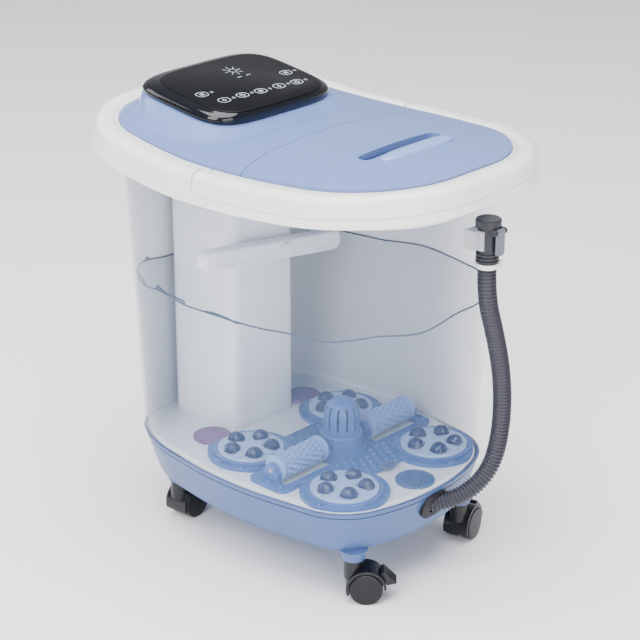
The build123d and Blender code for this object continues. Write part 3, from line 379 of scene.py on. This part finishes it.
housing = stacked([(0.0815, 0.0630, 0.0, 0), (0.0830, 0.0645, 0.0012, 0), (0.0835, 0.0650, 0.0032, 0),
                   (0.0829, 0.0644, 0.0056, -0.0008), (0.0808, 0.0627, 0.0080, -0.0022),
                   (0.0775, 0.0600, 0.0098, -0.0042), (0.0738, 0.0573, 0.0108, -0.0058),
                   (0.0735, 0.0570, 0.0110, -0.0060)])
bmesh.ops.transform(housing, matrix=PANEL_PLACE, verts=housing.verts)
soften(housing.edges, 40)
piano_black = moulded("piano_black", paint(9, 10, 18), 0.1, mottle=0.05, relief=0.0, coat=0.2)
piece("panel_housing_rolled", housing, "bath", piano_black, ("panel_housing",))
APRON_STEPS, APRON_REACH, APRON_REAR = 12, 0.030, 0.004
WAIST_Y = 0.0435             # lowest line of the covers


def cover_height(x, y):
    """Domed surface of the rear cover."""
    rise = (0.0167 * ((y - WAIST_Y) / 0.141) ** 2 if y > WAIST_Y
            else 0.0103 * ((WAIST_Y - y) / 0.227) ** 2)
    return 0.4145 + rise + 0.012 * (1 - ((y - 0.0005) / 0.184) ** 4) - 0.019 * (x / 0.165) ** 2


apron = bmesh.new()
last_ring = None
for step in range(APRON_STEPS + 1):
    share = step / APRON_STEPS
    ring = squircle(apron, 0.0835, 0.0650, 0.0, 0.0)
    ends = {v for e in ring for v in e.verts}
    for vert in ends:
        flat = vert.co.xy.normalized()
        rearward = max(0.0, flat.y - 0.15) / 0.85
        reach = APRON_REACH + (APRON_REAR - APRON_REACH) * min(1.0, rearward * 1.6)
        top = PANEL_PLACE @ (vert.co * 0.985)
        foot = Vector((top.x + flat.x * reach, top.y + flat.y * reach, 0))
        blend = share * share * (3 - 2 * share)
        x, y = top.x + (foot.x - top.x) * share, top.y + (foot.y - top.y) * share
        height = top.z + 0.0004
        vert.co = Vector((x, y, height + (cover_height(x, y) - 0.0004 - height) * blend ** 0.55))
    if last_ring:
        bmesh.ops.bridge_loops(apron, edges=last_ring + ring)
    else:
        bmesh.ops.contextual_create(apron, geom=ring)
    last_ring = ring
bmesh.ops.contextual_create(apron, geom=last_ring)
bmesh.ops.recalc_face_normals(apron, faces=apron.faces)
soften(apron.edges, 60)
piece("panel_apron", apron, "bath", cover_blue)
film = stacked([(0.0725, 0.0560, 0.0109, -0.006), (0.0725, 0.0560, 0.0116, -0.006),
                (0.0718, 0.0553, 0.0121, -0.006)])
bmesh.ops.transform(film, matrix=PANEL_PLACE, verts=film.verts)
soften(film.edges, 40)
piece("panel_film", film, "bath",
      moulded("film_black", paint(15, 16, 20), 0.3, mottle=0.04, relief=0.02, shine=0.15), ("panel_glass",))
dressed("control_board", moulded("board_green", paint(30, 96, 62), 0.5))

MARK_HEIGHT = 0.01225
marks = bmesh.new()


def outline_mark(x, y, half_x, half_y, stroke=0.0007):
    """Flat printed ring."""
    ring_shape = bmesh.new()
    outer = squircle(ring_shape, half_x, half_y, 0, 0, 2.6, 40)
    inner = squircle(ring_shape, half_x - stroke, half_y - stroke, 0, 0, 2.6, 40)
    bmesh.ops.bridge_loops(ring_shape, edges=outer + inner)
    stamp(ring_shape, x, y)


def dash_mark(x, y, half_x, half_y, turned=0.0):
    """Flat printed bar."""
    bar = bmesh.new()
    bmesh.ops.create_grid(bar, x_segments=1, y_segments=1, size=1.0,
                          matrix=Matrix.Diagonal((half_x, half_y, 1, 1)))
    stamp(bar, x, y, turned)


def stamp(source, x, y, turned=0.0):
    """Put a flat mark on the panel's film."""
    place = (PANEL_PLACE @ Matrix.Translation((x, y - 0.006, MARK_HEIGHT))
             @ Matrix.Rotation(turned, 4, "Z"))
    bmesh.ops.transform(source, matrix=place, verts=source.verts)
    for face in source.faces:
        face.normal_update()
        if face.normal.z < 0:
            face.normal_flip()
    held = bpy.data.meshes.new("mark")
    source.to_mesh(held)
    source.free()
    marks.from_mesh(held)
    bpy.data.meshes.remove(held)


KEYS = [(-0.0558, -0.0034), (-0.0473, -0.0247), (-0.0236, -0.0252), (-0.001, -0.0271),
        (0.0236, -0.0277), (0.0461, -0.0295), (0.0544, -0.0066)]
for number, (x, y) in enumerate(KEYS):
    outline_mark(x, y, 0.0068, 0.0052)
    outline_mark(x + 0.0118, y - 0.0006, 0.0016, 0.0016, 0.0005)
    if number % 3 == 0:
        dash_mark(x, y, 0.0026, 0.0004)
        dash_mark(x, y + 0.0016, 0.0026, 0.0004)
        dash_mark(x, y - 0.0016, 0.0026, 0.0004)
    elif number % 3 == 1:
        dash_mark(x, y, 0.0004, 0.0028)
        dash_mark(x, y, 0.0026, 0.0004)
    else:
        outline_mark(x, y, 0.0027, 0.0027, 0.0006)
        dash_mark(x, y + 0.0012, 0.0004, 0.0014)
SUN_X, SUN_Y, RAY_REACH, RAYS = 0.0125, 0.025, 0.0078, 8
for ray in range(RAYS):
    way = ray * 2 * pi / RAYS
    dash_mark(SUN_X + RAY_REACH * cos(way), SUN_Y + RAY_REACH * sin(way), 0.0022, 0.0003, way)
outline_mark(SUN_X, SUN_Y, 0.004, 0.004, 0.0006)
for step in (-1, 1):
    dash_mark(SUN_X + step * 0.006, 0.0095, 0.0028, 0.0004)
piece("touch_marks", marks, "bath", moulded("mark_white", paint(200, 206, 220), 0.5))

# ---------------------------------------------------------------- massage floor
# Blue floor insert with rows of small raised dots, moulded with the roller blocks and the herb
# pedestal in one colour, two floor vents, the drain filter and two lenses of the infrared lamps.
plate_blue = moulded("plate_blue", paint(62, 96, 160), 0.26, mottle=0.03, relief=0.03, coat=0.2)
for node in ("massage_plate", "roller_blocks", "herb_pedestal", "herb_dome"):
    dressed(node, plate_blue)
deep_blue = moulded("filter_blue", paint(60, 84, 130), 0.3)
for node in ("drain_filter", "floor_vents"):
    dressed(node, deep_blue)
dressed("infrared_lenses", moulded("lens_pink", paint(118, 52, 112), 0.12, mottle=0.2, grain=400.0,
                                   relief=0.1, coat=0.5))
DISCS = [(-0.065, 0.0325), (-0.065, -0.092), (0.065, 0.0325), (0.065, -0.092)]
PLATE_TOP, DOT_PITCH = 0.103, 0.0095
DOT_RADIUS, DOT_HEIGHT = 0.0026, 0.0020
ROLLER_LINE, DOME_LINE = 0.0295, 0.0285    # how far in front of the middle
dots = bmesh.new()
for row in range(-15, 16):
    for column in range(-13, 14):
        x = (column + 0.5 * (row % 2)) * DOT_PITCH
        y = row * DOT_PITCH * 0.87 - ROLLER_LINE
        near_disc = min(((x - dx) ** 2 + (y - dy) ** 2) ** 0.5 for dx, dy in DISCS)
        on_lobe = 0.0395 < near_disc < 0.041
        on_waist = abs(x) < 0.107 and 0.0185 < abs(y + ROLLER_LINE) < 0.0225
        on_middle = abs(x) < 0.040 and -0.089 < y < 0.026 and near_disc > 0.040
        on_ends = 0.1035 < abs(x) < 0.1065 and abs(y + ROLLER_LINE) < 0.02
        clear = (x ** 2 + (y + DOME_LINE) ** 2) ** 0.5 > 0.0285
        clear = clear and not (28 < abs(x) * 1000 < 102 and abs(y + ROLLER_LINE) < 0.0175)
        clear = clear and (x ** 2 + ((y - 0.0195) * 2) ** 2) ** 0.5 > 0.0145
        clear = clear and (x ** 2 + ((y + 0.0895) * 2) ** 2) ** 0.5 > 0.0145
        if clear and (on_lobe or on_waist or on_middle or on_ends):
            bmesh.ops.create_icosphere(dots, subdivisions=2, radius=1.0,
                                       matrix=Matrix.Translation((x, y, PLATE_TOP))
                                       @ Matrix.Diagonal((DOT_RADIUS, DOT_RADIUS, DOT_HEIGHT, 1)))
piece("plate_dots", dots, "bath", plate_blue)

# ---------------------------------------------------------------- turntables
# Four motor-driven discs with a raised star and five faceted knobs each. The knobs are dark
# mouldings pressed into the disc.
KNOBS, KNOB_RING, KNOB_RADIUS, KNOB_FOOT = 5, 0.0205, 0.0088, 0.1070
disc_pale = moulded("disc_pale", paint(146, 170, 212), 0.24, mottle=0.02, coat=0.3)
knob_blue = moulded("knob_blue", paint(8, 32, 78), 0.16, mottle=0.1, relief=0.02, coat=0.25)
for number, (disc_x, disc_y) in enumerate(DISCS, start=1):
    dressed(f"turntable_{number}", disc_pale)
    knobs = bmesh.new()
    for knob in range(KNOBS):
        angle = pi / 2 + knob * 2 * pi / KNOBS
        place = (Matrix.Translation((disc_x + KNOB_RING * cos(angle),
                                     disc_y + KNOB_RING * sin(angle), KNOB_FOOT))
                 @ Matrix.Rotation(angle, 4, "Z") @ Matrix.Diagonal((1, 1, 0.98, 1)))
        bmesh.ops.create_uvsphere(knobs, u_segments=8, v_segments=6, radius=KNOB_RADIUS,
                                  matrix=place)
    bmesh.ops.bisect_plane(knobs, geom=knobs.verts[:] + knobs.edges[:] + knobs.faces[:],
                           plane_co=(0, 0, KNOB_FOOT), plane_no=(0, 0, -1), clear_outer=True)
    bmesh.ops.holes_fill(knobs, edges=[e for e in knobs.edges if e.is_boundary], sides=0)
    bmesh.ops.bevel(knobs, geom=[e for e in knobs.edges if e.calc_length() > 0.001], offset=0.0007,
                    segments=2, profile=0.5, affect="EDGES", material=-1)
    bmesh.ops.recalc_face_normals(knobs, faces=knobs.faces)
    soften(knobs.edges, 24)
    piece(f"disc_knobs_{number}", knobs, BODY_OF[f"disc_balls_{number}"], knob_blue,
          (f"disc_balls_{number}",))

# ---------------------------------------------------------------- rollers
# Two drums with rows of blunt pointed teeth and a plain flange at each end, free on steel axles.
ROLLER_AXIS = (-0.0295, 0.114)
ROWS, TEETH = 8, 12
# distance from the middle, length and radius of the drum, its two flanges and their two shoulders
BARRELS = [(0.064, 0.056, 0.0092), (0.0345, 0.003, 0.013), (0.0935, 0.003, 0.013),
           (0.0375, 0.0025, 0.0112), (0.0905, 0.0025, 0.0112)]
roller_pale = moulded("roller_pale", paint(122, 152, 204), 0.24, mottle=0.02, coat=0.3)
for name, side in (("left", -1), ("right", 1)):
    drum = bmesh.new()
    for x, length, radius in BARRELS:
        barrel = bmesh.ops.create_cone(drum, cap_ends=True, segments=48, radius1=radius, radius2=radius,
                                       depth=length, matrix=Matrix.Translation((side * x, *ROLLER_AXIS))
                                       @ Matrix.Rotation(pi / 2, 4, "Y"))["verts"]
        sharp = [e for e in {e for v in barrel for e in v.link_edges} if e.calc_face_angle(0) > 1.0]
        bmesh.ops.bevel(drum, geom=sharp, offset=0.0005, segments=2, profile=0.5, affect="EDGES",
                        material=-1)
    for row in range(ROWS):
        for tooth in range(TEETH):
            angle = (tooth + 0.5 * (row % 2)) * 2 * pi / TEETH
            lean = (Matrix.Translation((side * (0.0422 + row * 0.0062), *ROLLER_AXIS))
                    @ Matrix.Rotation(angle, 4, "X") @ Matrix.Translation((0, 0, 0.0109)))
            bmesh.ops.create_cone(drum, cap_ends=True, segments=8, radius1=0.0025, radius2=0.0010,
                                  depth=0.0042, matrix=lean)
    soften(drum.edges, 40)
    piece(f"roller_{name}_spiked", drum, f"roller_{name}", roller_pale, (f"roller_{name}",))

# ---------------------------------------------------------------- casters
# Black twin-wheel casters: a hooded fork on a steel stem, glossy disc wheels, and pointed brake
# tips on the front pair.
caster_black = moulded("caster_black", paint(12, 12, 18), 0.3, mottle=0.1, relief=0.1, coat=0.15)
wheel_black = moulded("wheel_black", paint(10, 10, 15), 0.34, mottle=0.15, relief=0.12)
for number in range(1, 5):
    dressed(f"caster_fork_{number}", caster_black)
    dressed(f"caster_wheels_{number}", wheel_black)
for number in (1, 2):
    dressed(f"caster_brake_{number}", caster_black)

# ---------------------------------------------------------------- floor and light
# Plain pale floor, a large soft light overhead, smaller ones from the left, the front and behind,
# and a pale sky.
floor_mesh = bmesh.new()
bmesh.ops.create_grid(floor_mesh, x_segments=1, y_segments=1, size=6.0)
floor_data = bpy.data.meshes.new("studio_floor")
floor_mesh.to_mesh(floor_data)
floor_mesh.free()
studio_floor = bpy.data.objects.new("studio_floor", floor_data)
bpy.context.collection.objects.link(studio_floor)
floor_data.materials.append(moulded("floor_pale", paint(250, 250, 251), 0.8, mottle=0.01))


def soft_light(name, place, size, power, colour=(1, 1, 1)):
    """Square studio lamp aimed at the bath."""
    lamp = bpy.data.lights.new(name, "AREA")
    lamp.size = size
    lamp.energy = power
    lamp.color = colour
    held = bpy.data.objects.new(name, lamp)
    bpy.context.collection.objects.link(held)
    held.location = place
    held.rotation_euler = (Vector((0, 0, 0.25)) - held.location).to_track_quat("-Z", "Y").to_euler()


soft_light("overhead", (-0.3, -0.3, 2.6), 2.4, 150)
soft_light("key", (-1.9, -0.4, 1.5), 1.2, 42)
soft_light("front", (-0.9, -2.1, 0.7), 1.4, 30)
soft_light("back", (-1.2, 2.2, 1.6), 1.4, 26)
world = bpy.data.worlds.new("studio")
world.use_nodes = True
world.node_tree.nodes["Background"].inputs["Color"].default_value = (0.94, 0.96, 1.0, 1.0)
world.node_tree.nodes["Background"].inputs["Strength"].default_value = 0.5
bpy.context.scene.world = world
